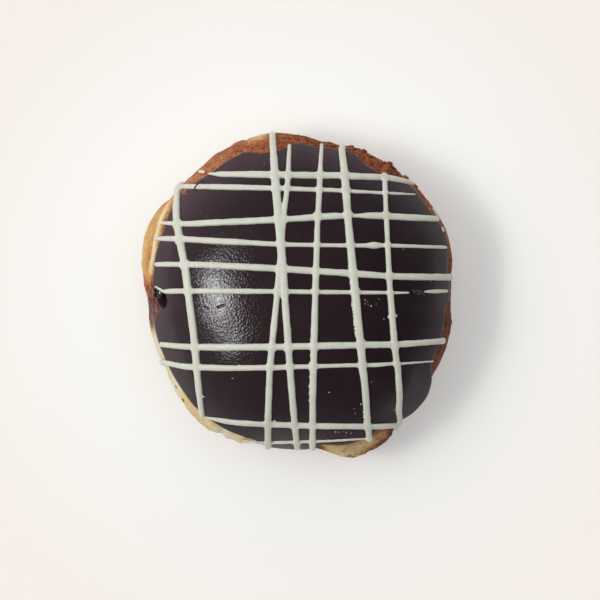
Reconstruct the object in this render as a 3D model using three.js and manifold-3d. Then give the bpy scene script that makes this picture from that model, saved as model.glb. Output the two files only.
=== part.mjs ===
// A round, filled doughnut with a dark chocolate icing cap and a lattice of white piped lines.
// Millimetres, +Z up. The origin is on the surface it rests on, under its middle.
// Seen from above with +Y up the page, the hole that the filling went in by is on the left.
import * as THREE from "three";
import { ParametricGeometry } from "three/addons/geometries/ParametricGeometry.js";
import { mergeGeometries, mergeVertices } from "three/addons/utils/BufferGeometryUtils.js";
import Module from "manifold-3d";

// Dough: a low dome over a rounded belly, with a flat spot to rest on.
const MEAN_RADIUS = 45.2; // axis to the widest ring, before its swells and dips
const DOUGH_HEIGHT = 42.5; // floor to the top of the crown
const GIRTH_HEIGHT = 18.5; // floor to the widest ring
const FOOT_RADIUS = 27; // the flat spot
const CROWN_POWER = 2.4; // squareness of the side curve above the widest ring, 2 is an ellipse
const BELLY_POWER = 2.3; // the same below it
const SECTORS = 60;
const BELLY_RINGS = 7;
const FLANK_RINGS = 5; // between the widest ring and the icing's edge

// Where the widest ring leaves a circle: heading and half-width in degrees, and how far out it goes.
// The crown share says how much of that is left on the dome above it.
const SWELLS = {
  rightShoulder: { at: 33, half: 19, out: 1.5, crown: 1 },
  topDip: { at: 78, half: 7, out: -1, crown: 1 },
  topLeftSwell: { at: 107, half: 15, out: 1.6, crown: 0.5 },
  leftLedge: { at: 157, half: 12, out: 1.3, crown: -0.6 },
  leftFlat: { at: 196, half: 26, out: -3.1, crown: 0.9 },
  lowerLeftSwell: { at: 241, half: 6, out: 1.2, crown: 0.5 },
  bottomDip: { at: 266, half: 12, out: -2.6, crown: 1 },
  bottomLedge: { at: 297, half: 14, out: 4, crown: 0.2 },
  lowerRightCorner: { at: 319, half: 8, out: 0.9, crown: 1 },
  lowerRightSwell: { at: 339, half: 7, out: 0.6, crown: 0.5 },
  rightDip: { at: 1, half: 9, out: -1, crown: 1 },
};

// Broken crust at the upper right: a patch of crags on the flank.
const CRAGS = { at: 52, half: 24, climb: 0.22, reach: 0.2, depth: 0.7, ripples: 20, rows: 14 };

// Icing: a thin cap that follows the crown down to a wavy edge.
const GAP = 0.3; // kept between neighbouring pieces
const ICING_THICKNESS = 1.4;
const EDGE_HEIGHT = 29.3; // floor to the icing's edge, before its scallops and drips
const CAP_RINGS = 7;
const UNDERSIDE_RINGS = 6; // shared with the dough under it, so that the two stay parallel
const LIP_RINGS = 2;
const LIP_SHARE = 0.05; // of the way down the cap, rounded off as its lip
const EDGE_WAVES = {
  rightDrip: { at: 3, half: 8, up: -2.4 },
  rightSag: { at: 21, half: 11, up: -1.4 },
  upperRightScallop: { at: 57, half: 8, up: 1.6 },
  topRightSag: { at: 75, half: 9, up: -1.1 },
  topScallop: { at: 101, half: 9, up: 2.8 },
  topLeftScallop: { at: 120, half: 16, up: 1.2 },
  leftScallop: { at: 163, half: 14, up: 1.6 },
  leftSag: { at: 205, half: 14, up: -1 },
  lowerLeftScallop: { at: 240, half: 9, up: 1.3 },
  bottomDrip: { at: 265, half: 11, up: -8 },
  lowerRightDrip: { at: 317, half: 10, up: -9.8 },
  lowerRightScallop: { at: 343, half: 8, up: 1.1 },
};

// White lines piped over the icing: the spots each passes over, seen from above, and its two end widths.
const BEAD_RISE = 0.85; // how far a line stands above the icing
const BEAD_STATIONS = 12;
const BEAD_SIDES = 6;
const END_TAPER = 0.3; // 0 gives square ends, 1 a long point
const LINES_DOWN = [
  { widths: [2.1, 1.7], over: [[-32.9, 32.2], [-34, 23], [-30.6, -2], [-26.5, -34.5]] },
  { widths: [2.2, 2], over: [[-6.7, 46], [-5.4, 27], [-3.2, -1], [0.6, -43.4]] },
  { widths: [1.5, 2], over: [[-2, 42.8], [-3.1, 25], [-5.2, 0], [-7.6, -24], [-8.3, -43.6]] },
  { widths: [1.5, 1.9], over: [[7.3, 43], [6.1, 18.5], [5.2, -10], [5.4, -43.6]] },
  { widths: [2.3, 1.8], over: [[13.4, 42.5], [14.8, 20.8], [18.2, -12.3], [20.9, -41.3]] },
  { widths: [1.5, 2], over: [[25.1, 35.3], [25.9, 15.7], [27.9, -14.3], [29.5, -37.4]] },
];
const LINES_ACROSS = [
  { widths: [2, 1.8], over: [[-25.1, 34.6], [-5, 34.3], [18, 34], [33.3, 32.2]] },
  { widths: [1.8, 1.1], over: [[-33.3, 30.8], [-6, 30.3], [34.2, 28.5]] },
  { widths: [1.9, 2], over: [[-38.8, 20.5], [-16, 20.8], [15, 22.4], [40.6, 21.5]] },
  { widths: [1.7, 1.3], over: [[-40.6, 16], [-18.8, 15.1], [12.5, 14], [43, 13.7]] },
  { widths: [1.9, 2], over: [[-40.2, 8.8], [-20, 8.3], [26.8, 5.3], [44.3, 5]] },
  { widths: [1.6, 1.2], over: [[-40, 2.8], [-36, 1.3], [1.1, 0.9], [43.3, 1.1]] },
  { widths: [2, 2], over: [[-38.8, -14], [-21.7, -14.9], [20, -14.2], [42.2, -13]] },
  { widths: [1.8, 1.1], over: [[-38.8, -19.1], [-28, -20.7], [8, -20.2], [39.3, -18.8]] },
  { widths: [1.9, 1.9], over: [[-25.7, -34.9], [-14, -36.5], [29.4, -37.5]] },
  { widths: [1.3, 1.1], over: [[-15.1, -41.6], [-4, -41.8], [20.2, -40.8]] },
];

// Filling: it went in by a nozzle on the left, which left an oval pit and a channel to the middle.
const PIT = { heading: 181.8, climb: 0.31, deep: 3.4, wide: 6.2, tall: 7.2 };
const NOZZLE_RADIUS = 2.7;
const POCKET_RADIUS = 9;
const CHANNEL_LENGTH = 17; // from the pit to where the pocket starts
const POCKET_LENGTH = 31;
const FILLING_DIP = 9; // how far the channel slopes down, in degrees
const FILLING_SECTORS = 16;
const ARC_POINTS = 3; // steps on each quarter of the filling's round ends

const FULL_TURN = 2 * Math.PI;
const WELD = 1e-3; // vertices closer than this are one
const STEP = 1e-3; // for slopes worked out from two nearby points

const wasm = await Module();
wasm.setup();

// A flat-topped hump of height 1 round a heading, for angles in radians against degrees.
function hump(angle, atDegrees, halfDegrees) {
  const turn = THREE.MathUtils.euclideanModulo(THREE.MathUtils.radToDeg(angle) - atDegrees + 180, 360) - 180;
  return Math.exp(-((turn / halfDegrees) ** 4));
}

// Radius of the dough at a heading. Climb runs from -1 at the foot over 0 at the girth to 1 on top.
function outline(angle, climb) {
  const onCrown = THREE.MathUtils.smoothstep(climb, 0, 0.5);
  let radius = MEAN_RADIUS;
  for (const swell of Object.values(SWELLS)) {
    const share = THREE.MathUtils.lerp(1, swell.crown, onCrown);
    radius += swell.out * share * hump(angle, swell.at, swell.half);
  }
  const patch = hump(angle, CRAGS.at, CRAGS.half) * Math.exp(-(((climb - CRAGS.climb) / CRAGS.reach) ** 2));
  const ridges = Math.sin(CRAGS.ripples * angle + CRAGS.rows * climb) * Math.cos(CRAGS.rows * climb);
  return radius + CRAGS.depth * patch * ridges;
}

// A point on the dough's skin.
function skin(angle, climb) {
  const radius = outline(angle, climb);
  const swing = (Math.abs(climb) * Math.PI) / 2;
  let reach;
  let height;
  if (climb >= 0) {
    reach = radius * Math.max(Math.cos(swing), 0) ** (2 / CROWN_POWER);
    height = GIRTH_HEIGHT + (DOUGH_HEIGHT - GIRTH_HEIGHT) * Math.sin(swing) ** (2 / CROWN_POWER);
  } else {
    const foot = (FOOT_RADIUS * radius) / MEAN_RADIUS;
    reach = foot + (radius - foot) * Math.max(Math.cos(swing), 0) ** (2 / BELLY_POWER);
    height = GIRTH_HEIGHT * (1 - Math.sin(swing) ** (2 / BELLY_POWER));
  }
  return new THREE.Vector3(reach * Math.cos(angle), reach * Math.sin(angle), height);
}

// The outward direction of the skin, straight up on the very top.
function outward(angle, climb) {
  if (climb > 1 - 2 * STEP) {
    return new THREE.Vector3(0, 0, 1);
  }
  const along = skin(angle + STEP, climb).sub(skin(angle - STEP, climb));
  const upward = skin(angle, climb + STEP).sub(skin(angle, Math.max(climb - STEP, 0)));
  return along.cross(upward).normalize();
}

// A point that stands off the crown by a given lift.
function lifted(angle, climb, lift) {
  return skin(angle, climb).addScaledVector(outward(angle, climb), lift);
}

// How far up the crown a height is, for the icing's edge.
function climbAtHeight(height) {
  const share = (height - GIRTH_HEIGHT) / (DOUGH_HEIGHT - GIRTH_HEIGHT);
  return (Math.asin(share ** (CROWN_POWER / 2)) * 2) / Math.PI;
}

// The spot above the crown, at a given lift, that is seen at a plan position from straight above.
function drape(across, up, lift) {
  const angle = Math.atan2(up, across);
  const wanted = Math.hypot(across, up);
  let low = 0;
  let high = 1;
  while (high - low > STEP) {
    const middle = (low + high) / 2;
    const point = lifted(angle, middle, lift);
    if (Math.hypot(point.x, point.y) > wanted) {
      low = middle;
    } else {
      high = middle;
    }
  }
  return { angle, climb: low };
}

// A closed geometry as a solid: its seams are welded and its collapsed triangles dropped.
function solidOf(geometry) {
  geometry.deleteAttribute("normal");
  geometry.deleteAttribute("uv");
  const welded = mergeVertices(geometry, WELD);
  const corners = welded.index.array;
  const triangles = [];
  for (let i = 0; i < corners.length; i += 3) {
    const [a, b, c] = corners.slice(i, i + 3);
    if (a !== b && b !== c && c !== a) {
      triangles.push(a, b, c);
    }
  }
  const vertProperties = welded.attributes.position.array;
  const triVerts = new Uint32Array(triangles);
  return new wasm.Manifold(new wasm.Mesh({ numProp: 3, vertProperties, triVerts }));
}

// A solid as a named mesh.
function meshOf(name, solid, material) {
  const made = solid.getMesh();
  const geometry = new THREE.BufferGeometry();
  geometry.setAttribute("position", new THREE.BufferAttribute(made.vertProperties, 3));
  geometry.setIndex(new THREE.BufferAttribute(made.triVerts, 1));
  geometry.computeVertexNormals();
  const mesh = new THREE.Mesh(geometry, material);
  mesh.name = name;
  return mesh;
}

// A surface that goes right round the axis: rows of points from the lowest to the highest, facing out.
function roundSurface(rows, pointAt) {
  const surface = (around, along, target) => {
    const angle = FULL_TURN * (around % 1);
    target.copy(pointAt(angle, rows[Math.round(along * (rows.length - 1))]));
  };
  return new ParametricGeometry(surface, SECTORS, rows.length - 1);
}

// The same surface facing in.
function turnedOver(geometry) {
  const corners = geometry.index.array;
  for (let i = 0; i < corners.length; i += 3) {
    [corners[i], corners[i + 1]] = [corners[i + 1], corners[i]];
  }
  return geometry;
}

// How far up the crown the icing's edge is at a heading.
function edgeClimb(angle) {
  let height = EDGE_HEIGHT;
  for (const wave of Object.values(EDGE_WAVES)) {
    height += wave.up * hump(angle, wave.at, wave.half);
  }
  return climbAtHeight(height);
}

// How far up the crown a row of the icing is: drop is 0 on top and 1 at the edge.
// Rows near the top run level, and only the lower ones follow the edge's waves.
function underIcing(angle, drop) {
  const edge = THREE.MathUtils.lerp(climbAtHeight(EDGE_HEIGHT), edgeClimb(angle), drop ** 3);
  return THREE.MathUtils.lerp(1, edge, drop);
}

// The dough's rows go up the belly, then up the flank to the icing's edge, then on to the top under it.
function doughSolid() {
  const rows = [() => -1];
  for (let i = 0; i < BELLY_RINGS; i++) {
    rows.push(() => i / BELLY_RINGS - 1);
  }
  for (let i = 0; i < FLANK_RINGS; i++) {
    rows.push((angle) => (edgeClimb(angle) * i) / FLANK_RINGS);
  }
  for (let i = UNDERSIDE_RINGS; i >= 0; i--) {
    rows.push((angle) => underIcing(angle, i / UNDERSIDE_RINGS));
  }
  const pointAt = (angle, row) => (row === rows[0] ? new THREE.Vector3() : skin(angle, row(angle)));
  return solidOf(roundSurface(rows, pointAt));
}

// The cap: an underside parallel to the dough, and a face that rounds over into it at the lip.
function capSolid() {
  const underside = [];
  for (let i = UNDERSIDE_RINGS; i >= 0; i--) {
    underside.push({ drop: i / UNDERSIDE_RINGS, lift: GAP });
  }
  const face = [];
  for (let i = LIP_RINGS; i > 0; i--) {
    const round = i / LIP_RINGS;
    face.push({ drop: 1 - LIP_SHARE * (1 - round), lift: GAP + ICING_THICKNESS * Math.sqrt(1 - round ** 2) });
  }
  for (let i = CAP_RINGS; i >= 0; i--) {
    face.push({ drop: ((1 - LIP_SHARE) * i) / CAP_RINGS, lift: GAP + ICING_THICKNESS });
  }
  const pointAt = (angle, row) => lifted(angle, underIcing(angle, row.drop), row.lift);
  const inside = turnedOver(roundSurface(underside, pointAt));
  return solidOf(mergeGeometries([inside, roundSurface(face, pointAt)]));
}

// One piped line: an oval bead, half sunk in the icing, that narrows to a point at each end.
function beadSolid(line) {
  const lift = GAP + ICING_THICKNESS;
  const route = new THREE.CatmullRomCurve3(line.over.map(([across, up]) => new THREE.Vector3(across, up, 0)));
  const stations = [];
  for (let i = 0; i <= BEAD_STATIONS; i++) {
    const share = i / BEAD_STATIONS;
    const along = (1 - Math.cos(Math.PI * share)) / 2;
    const plan = route.getPointAt(along);
    const { angle, climb } = drape(plan.x, plan.y, lift);
    stations.push({
      centre: lifted(angle, climb, lift),
      normal: outward(angle, climb),
      width: THREE.MathUtils.lerp(...line.widths, along),
      full: (4 * share * (1 - share)) ** END_TAPER,
    });
  }
  const surface = (around, along, target) => {
    const index = Math.round(along * BEAD_STATIONS);
    const { centre, normal, width, full } = stations[index];
    const before = stations[Math.max(index - 1, 0)].centre;
    const after = stations[Math.min(index + 1, BEAD_STATIONS)].centre;
    const side = after.clone().sub(before).cross(normal).normalize();
    const turn = -FULL_TURN * (around % 1);
    target.copy(centre);
    target.addScaledVector(side, (width / 2) * full * Math.cos(turn));
    target.addScaledVector(normal, BEAD_RISE * full * Math.sin(turn));
  };
  return solidOf(new ParametricGeometry(surface, BEAD_SIDES, BEAD_STATIONS));
}

// The filling from its face in the pit to the far end of the pocket, along +Y, grown by a margin all round.
function fillingGeometry(margin) {
  const nozzle = NOZZLE_RADIUS + margin;
  const pocket = POCKET_RADIUS + margin;
  const faceDepth = NOZZLE_RADIUS / 2;
  const halfPocket = POCKET_LENGTH / 2;
  const neck = Math.acos(nozzle / pocket);
  const profile = new THREE.Path();
  profile.absellipse(0, faceDepth, nozzle, faceDepth + margin, -Math.PI / 2, 0);
  profile.absellipse(0, CHANNEL_LENGTH + halfPocket, pocket, halfPocket + margin, -neck, Math.PI / 2);
  return new THREE.LatheGeometry(profile.getPoints(ARC_POINTS), FILLING_SECTORS);
}

// Turns a form made along +Y so that it points into the dough from the pit.
function pointInward(geometry, setBack) {
  const heading = THREE.MathUtils.degToRad(PIT.heading);
  const mouth = skin(heading, PIT.climb);
  const dip = THREE.MathUtils.degToRad(FILLING_DIP);
  const inward = new THREE.Vector3(-Math.cos(heading), -Math.sin(heading), -Math.tan(dip)).normalize();
  geometry.applyQuaternion(new THREE.Quaternion().setFromUnitVectors(new THREE.Vector3(0, 1, 0), inward));
  geometry.translate(...mouth.addScaledVector(inward, setBack).toArray());
  return solidOf(geometry);
}

const pitGeometry = new THREE.SphereGeometry(1, FILLING_SECTORS, FILLING_SECTORS / 2);
pitGeometry.scale(PIT.wide / 2, PIT.deep, PIT.tall / 2);
const pit = pointInward(pitGeometry, 0);
const filling = pointInward(fillingGeometry(0), PIT.deep / 2);
const channel = pointInward(fillingGeometry(GAP), PIT.deep / 2);

const dough = doughSolid().subtract(pit).subtract(channel);
let icing = capSolid().subtract(pit);
for (const line of [...LINES_DOWN, ...LINES_ACROSS]) {
  icing = icing.add(beadSolid(line));
}

const crust = new THREE.MeshStandardMaterial({ color: 0xa87148, roughness: 0.8, metalness: 0 });
const chocolate = new THREE.MeshStandardMaterial({ color: 0x2a1f1e, roughness: 0.4, metalness: 0 });
const cream = new THREE.MeshStandardMaterial({ color: 0x2b1712, roughness: 0.2, metalness: 0 });

const doughnut = new THREE.Group();
doughnut.add(meshOf("dough", dough, crust));
doughnut.add(meshOf("chocolate_icing", icing, chocolate));
doughnut.add(meshOf("chocolate_filling", filling, cream));

export default doughnut;
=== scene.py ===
# %% [markdown]
# # A filled doughnut with chocolate icing and piped lines
#
# A round of yeast dough was fried, filled through its side with a nozzle, dipped in dark chocolate icing and
# striped with white icing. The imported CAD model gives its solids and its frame. Blender adds what a plain
# solid can't show: a browned crust, satin chocolate, lines that melt together where they cross, and crumbs.
# Lengths below are in millimetres, as a baker would measure them. Each mesh is turned into metres when it is
# made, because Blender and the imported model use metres.

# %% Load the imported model
import math

import bmesh
import bpy
import numpy as np
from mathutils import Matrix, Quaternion, Vector, noise
from mathutils.bvhtree import BVHTree


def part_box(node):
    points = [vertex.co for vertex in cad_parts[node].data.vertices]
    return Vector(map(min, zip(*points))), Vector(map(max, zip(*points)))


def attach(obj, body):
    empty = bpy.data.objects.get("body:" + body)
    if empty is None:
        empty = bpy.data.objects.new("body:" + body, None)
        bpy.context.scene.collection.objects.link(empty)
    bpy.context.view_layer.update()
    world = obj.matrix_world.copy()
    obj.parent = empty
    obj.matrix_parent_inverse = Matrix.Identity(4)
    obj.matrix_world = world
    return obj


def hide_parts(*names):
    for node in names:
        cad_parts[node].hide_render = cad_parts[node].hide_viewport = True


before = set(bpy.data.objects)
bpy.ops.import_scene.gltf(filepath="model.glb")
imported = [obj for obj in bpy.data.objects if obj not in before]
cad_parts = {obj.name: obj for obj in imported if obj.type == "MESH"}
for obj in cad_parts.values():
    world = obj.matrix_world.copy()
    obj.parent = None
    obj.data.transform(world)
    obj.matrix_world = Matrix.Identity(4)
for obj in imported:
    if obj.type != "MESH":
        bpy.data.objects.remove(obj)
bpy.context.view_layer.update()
MM = 0.001
print("CAD nodes:", sorted(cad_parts))

# %% [markdown]
# ## The form of the dough
#
# A fried doughnut is a low dome on a rounded belly with a flat spot underneath, and no two sides are alike.
# The CAD mesh could be subdivided, but that only rounds off its facets. Here the curve that the solid was
# made from is written out again, with a few swells moved by less than a millimetre, so a mesh of any fineness
# lies on it. Climb runs from -1 at the foot over 0 at the widest ring to 1 on top.

# %% Driving sizes of the dough
DOUGH_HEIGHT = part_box("dough")[1].z / MM
GIRTH_HEIGHT = 18.5
MEAN_RADIUS = 45.2
FOOT_RADIUS = 27.0
CROWN_POWER = 2.4
BELLY_POWER = 2.3
# Climb above which each swell has only its crown's share.
CROWN_CLIMB = 0.5
# Heading and half-width in degrees, how far out the widest ring goes there, and the share left on the crown.
SWELLS = {
    "right shoulder": (33, 19, 1.5, 1.0),
    "upper right flat": (39, 11, -0.7, 1.0),
    "top dip": (78, 7, -1.0, 1.0),
    "top left swell": (107, 15, 1.6, 0.5),
    "left ledge": (157, 12, 1.3, -0.6),
    "left flat": (196, 26, -2.7, 0.9),
    "lower left swell": (241, 6, 0.5, 0.5),
    "bottom dip": (266, 12, -2.6, 1.0),
    "bottom ledge": (295.5, 12.2, 4.0, 0.2),
    "lower right corner": (318, 6, 0.8, 1.0),
    "right dip": (1, 9, -1.0, 1.0),
}
print(f"dough {DOUGH_HEIGHT:.1f} mm high, {2 * MEAN_RADIUS:.1f} mm across on average")


# %% Soft shapes of change
def bell(value, middle, reach, power=2):
    """1 in the middle and less to both sides: gently for power 2, with a flat top for power 4."""
    return np.exp(-(((value - middle) / reach) ** power))


def hump(angle, at, half):
    """A flat-topped hump of height 1 round a heading, for angles in radians against degrees."""
    return bell((np.degrees(angle) - at + 180) % 360 - 180, 0, half, 4)


def ease(low, high, value):
    """0 below low, 1 above high and a smooth change between them."""
    share = np.clip((value - low) / (high - low), 0, 1)
    return share * share * (3 - 2 * share)


print("hump at its middle and half-width:", hump(np.radians([0, 10]), 0, 10).round(2))

# %% The skin of the dough
STEP = 1e-3


def outline(angle, climb):
    """Radius of the dough at a heading."""
    on_crown = ease(0, CROWN_CLIMB, climb)
    radius = MEAN_RADIUS + 0 * angle
    for at, half, out, crown in SWELLS.values():
        radius = radius + out * (1 + (crown - 1) * on_crown) * hump(angle, at, half)
    return radius


def skin(angle, climb):
    """Points on the dough's skin."""
    climb = np.clip(climb, -1, 1)
    radius = outline(angle, climb)
    swing = np.abs(climb) * np.pi / 2
    level, rise = np.maximum(np.cos(swing), 0), np.sin(swing)
    foot = FOOT_RADIUS * radius / MEAN_RADIUS
    crown_reach = radius * level ** (2 / CROWN_POWER)
    belly_reach = foot + (radius - foot) * level ** (2 / BELLY_POWER)
    crown_height = GIRTH_HEIGHT + (DOUGH_HEIGHT - GIRTH_HEIGHT) * rise ** (2 / CROWN_POWER)
    belly_height = GIRTH_HEIGHT * (1 - rise ** (2 / BELLY_POWER))
    reach = np.where(climb >= 0, crown_reach, belly_reach)
    height = np.where(climb >= 0, crown_height, belly_height)
    return np.stack([reach * np.cos(angle), reach * np.sin(angle), height], axis=-1)


def unit(vectors):
    """The same directions with length 1."""
    return vectors / np.linalg.norm(vectors, axis=-1, keepdims=True)


def outward(angle, climb):
    """The direction that the skin faces."""
    along = skin(angle + STEP, climb) - skin(angle - STEP, climb)
    upward = skin(angle, climb + STEP) - skin(angle, climb - STEP)
    return unit(np.cross(along, upward))


def lifted(angle, climb, lift):
    """Points that stand off the skin by a lift."""
    return skin(angle, climb) + outward(angle, climb) * np.asarray(lift)[..., None]


def from_axis(points):
    """How far points are from the upright axis."""
    return np.hypot(points[..., 0], points[..., 1])


print("girth point at heading 0:", skin(np.array(0.0), np.array(0.0)).round(2))

# %% [markdown]
# ## The icing's edge and the filling hole
#
# Dipped icing runs down the sides and stops in scallops and drips, so its edge is a height that changes with
# the heading. On the left a nozzle left an oval pit. Crust and icing have to agree on both, so they are set
# down once, as functions. Cutting the pit with a boolean would leave ragged rims in such fine meshes, so the
# pit presses points inward and raises a soft rim.

# %% Edge of the icing
ICING_FACE = 1.7
EDGE_HEIGHT = 29.3
# Heading and half-width in degrees, and how far up the edge goes there.
EDGE_WAVES = {
    "right drip": (2, 6, -2.8),
    "right strip": (11, 4, -1.0),
    "right sag": (23, 8, -2.2),
    "upper right sag": (39, 8, -2.0),
    "upper right scallop": (57, 8, 1.6),
    "top right sag": (74, 7, -1.1),
    "top scallop": (100, 7.5, 2.9),
    "top left scallop": (118, 12, 1.3),
    "left scallop": (163, 14, 1.6),
    "left sag": (205, 14, -1.0),
    "lower left scallop": (240, 9, 0.4),
    "bottom drip": (266.5, 10.5, -9.5),
    "lower right drip": (318, 11, -9.6),
    "lower right scallop": (344, 9, 0.3),
}
# The bay over the pit: headings in degrees, and how far up the edge goes there.
BAY_HEADINGS = (175.5, 177, 178.5, 179.8, 182.5, 184.4, 185.5, 186.1, 186.5, 187.2, 188.8, 190.3, 192)
BAY_RISES = (0, 0.7, 2.95, 4.5, 4.85, 4.6, 4.2, 3.5, 2.5, 2.1, 0.8, 0.3, 0)


def climb_at_height(height):
    """How far up the crown a height is."""
    share = (height - GIRTH_HEIGHT) / (DOUGH_HEIGHT - GIRTH_HEIGHT)
    return np.arcsin(share ** (CROWN_POWER / 2)) * 2 / np.pi


def edge_climb(angle):
    """How far up the crown the icing's edge is at a heading."""
    height = EDGE_HEIGHT + 0 * angle
    for at, half, up in EDGE_WAVES.values():
        height = height + up * hump(angle, at, half)
    return climb_at_height(height + np.interp(np.degrees(angle) % 360, BAY_HEADINGS, BAY_RISES))


def under_icing(angle, drop):
    """Climb of a row of the icing: drop is 0 on top and 1 at the edge. Only low rows follow the waves."""
    level = climb_at_height(EDGE_HEIGHT)
    edge = level + (edge_climb(angle) - level) * drop**3
    return 1 + (edge - 1) * drop


around = np.linspace(0, 2 * np.pi, 361)
print("edge climbs from", edge_climb(around).min().round(3), "to", edge_climb(around).max().round(3))

# %% The pit of the nozzle
PIT_HEADING = math.radians(181.8)
PIT_CLIMB = 0.31
PIT_SLOPE = math.radians(9)
PIT_MOUTH = skin(np.array(PIT_HEADING), np.array(PIT_CLIMB))
PIT_OUT = unit(np.array([math.cos(PIT_HEADING), math.sin(PIT_HEADING), math.tan(PIT_SLOPE)]))
PIT_ACROSS = unit(np.cross(np.array([0.0, 0.0, 1.0]), PIT_OUT))
PIT_UP = np.cross(PIT_OUT, PIT_ACROSS)
# The torn rim leans and is smaller than the hole behind it: how far off the mouth it is, its lean and size.
RIM_OFFSET = 0.6
RIM_MIDDLE = PIT_MOUTH - RIM_OFFSET * PIT_ACROSS + RIM_OFFSET * PIT_UP
RIM_LEAN = math.radians(29)
RIM_HALF_LENGTH = 3.7
RIM_HALF_WIDTH = 2.0
PIT_DEPTH = 3.4
PIT_RIM = 0.25
# Shares of the rim's size where the wall begins and ends, and where the swollen rim is and its half-width.
PIT_WALL = (0.65, 1.0)
PIT_SWELL = (1.2, 0.2)
# What is this deep behind the mouth is the far side of the dough, which counts as far from the pit.
FAR_BEHIND = 12
FAR_AWAY = 9.0


def pit_distance(points):
    """0 in the middle of the pit and 1 on its leaning rim, for points on the skin."""
    offset = points - RIM_MIDDLE
    across, upward = offset @ PIT_ACROSS, offset @ PIT_UP
    along = (across * math.cos(RIM_LEAN) + upward * math.sin(RIM_LEAN)) / RIM_HALF_LENGTH
    beside = (upward * math.cos(RIM_LEAN) - across * math.sin(RIM_LEAN)) / RIM_HALF_WIDTH
    behind = offset @ PIT_OUT < -FAR_BEHIND
    return np.where(behind, FAR_AWAY, np.cbrt(np.abs(along) ** 3 + np.abs(beside) ** 3))


def pressed(points, depth, rim):
    """Points pushed in at the pit, with a raised rim round it."""
    distance = pit_distance(points)
    sunk = depth * np.sqrt(1 - ease(*PIT_WALL, distance))
    return points + (rim * bell(distance, *PIT_SWELL) - sunk)[..., None] * PIT_OUT


print("pit mouth at", PIT_MOUTH.round(2))

# %% [markdown]
# ## Helpers for meshes
#
# Everything here is grown from rows of points that go right round the axis, or along a line. A small helper
# turns such rows into a closed mesh. Unevenness comes from Blender's own noise, read at each point, because
# it is the same on every run. Real relief beats a bump map at this scale: it changes the silhouette.

# %% Unevenness, and rows of points to faces
# How fast finer bumps get weaker, and how much finer each octave is than the one before.
NOISE_DECAY = 1.0
NOISE_STEP = 2.0


def field(points, wave, octaves, seed):
    """Smooth unevenness, about -1 to 1, with bumps about one wave apart."""
    flat = np.asarray(points).reshape(-1, 3) / wave + seed
    values = [noise.fractal(Vector(p), NOISE_DECAY, NOISE_STEP, octaves) for p in flat.tolist()]
    return np.array(values).reshape(np.asarray(points).shape[:-1])


def layered(points, layers):
    """A sum of layers of unevenness, each with its strength, wave, octaves and seed."""
    return sum(strength * field(points, *layer) for strength, *layer in layers)


def closed_rows(rows, first, last):
    """Points and faces of a closed form from rows of points that go round, and its two end points."""
    count = rows.shape[1]
    here = np.arange(rows.shape[0] * count).reshape(-1, count)
    there = np.roll(here, -1, axis=1)
    quads = np.stack([here[:-1], there[:-1], there[1:], here[1:]], axis=-1).reshape(-1, 4)
    fans = [(here.size, b, a) for a, b in zip(here[0].tolist(), there[0].tolist())]
    fans += [(here.size + 1, a, b) for a, b in zip(here[-1].tolist(), there[-1].tolist())]
    return np.concatenate([rows.reshape(-1, 3), [first, last]]), quads.tolist() + fans


def together(forms):
    """Several forms as one set of points and faces."""
    all_points, all_faces, count = [], [], 0
    for points, faces in forms:
        all_points.append(points)
        all_faces += [[corner + count for corner in face] for face in faces]
        count += len(points)
    return np.concatenate(all_points), all_faces


print("unevenness at the pit's mouth:", field(PIT_MOUTH, 1.0, 2, 0.0).round(3))

# %% Pieces from points
SOFTENING = 0.5


def add_piece(name, points, faces):
    """A smooth mesh object in the scene, from points in millimetres."""
    mesh = bpy.data.meshes.new(name)
    mesh.from_pydata((np.asarray(points) * MM).tolist(), [], faces)
    mesh.validate()
    mesh.shade_smooth()
    piece = bpy.data.objects.new(name, mesh)
    bpy.context.scene.collection.objects.link(piece)
    return piece


def note_on_points(piece, name, values):
    """Stores a number on each point, for the material to read."""
    attribute = piece.data.attributes.new(name, "FLOAT", "POINT")
    attribute.data.foreach_set("value", np.asarray(values, np.float32).ravel())


def melted(piece, voxel, rounds, faces_kept):
    """Fuses overlapping forms into one skin, rounds its joints and thins out its faces."""
    fuse = piece.modifiers.new("fuse", "REMESH")
    fuse.mode = "VOXEL"
    fuse.voxel_size = voxel * MM
    soften = piece.modifiers.new("soften", "SMOOTH")
    soften.factor = SOFTENING
    soften.iterations = rounds
    lighter = piece.modifiers.new("lighter", "DECIMATE")
    lighter.ratio = faces_kept
    evaluated = piece.evaluated_get(bpy.context.evaluated_depsgraph_get())
    mesh = bpy.data.meshes.new_from_object(evaluated)
    piece.modifiers.clear()
    piece.data = mesh
    mesh.shade_smooth()
    return piece


def triangles(piece):
    """How many triangles a piece has, in words."""
    count = sum(len(face.vertices) - 2 for face in piece.data.polygons)
    return f"{piece.name}: {count} triangles"


print("a point at 1 mm is put at", MM, "m")

# %% Headings that crowd where there is detail
FINE_STEPS = 4001
CRUST_COLUMNS = 600
# Where points crowd, at the pit and at the crags: heading, half-width in degrees, and how many more.
CROWDED = [(math.degrees(PIT_HEADING), 9, 2), (55, 27, 1)]


def headings(count):
    """Headings once round, closer together where there is more to show."""
    even = np.linspace(0, 2 * np.pi, FINE_STEPS)
    density = 1 + 0 * even
    for at, half, more in CROWDED:
        density = density + more * hump(even, at, half)
    passed = np.cumsum(density)
    passed = (passed - passed[0]) / (passed[-1] - passed[0])
    return np.interp(np.arange(count) / count, passed, even)


print(f"finest spacing: {np.diff(headings(CRUST_COLUMNS)).min() * MEAN_RADIUS:.3f} mm")

# %% [markdown]
# ## The fried crust
#
# Frying browns the dough where it touches the hot oil. The ring that floats above the oil stays pale. It sits
# high on the lower left of this doughnut, where it shows as a cream band, and low on the right. The crust is
# granular, and broken into crags at the upper right. A displacement modifier could do this, but the crags and
# the pale ring depend on the heading, so each point is moved in code, and how brown it is gets stored on it.

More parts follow.
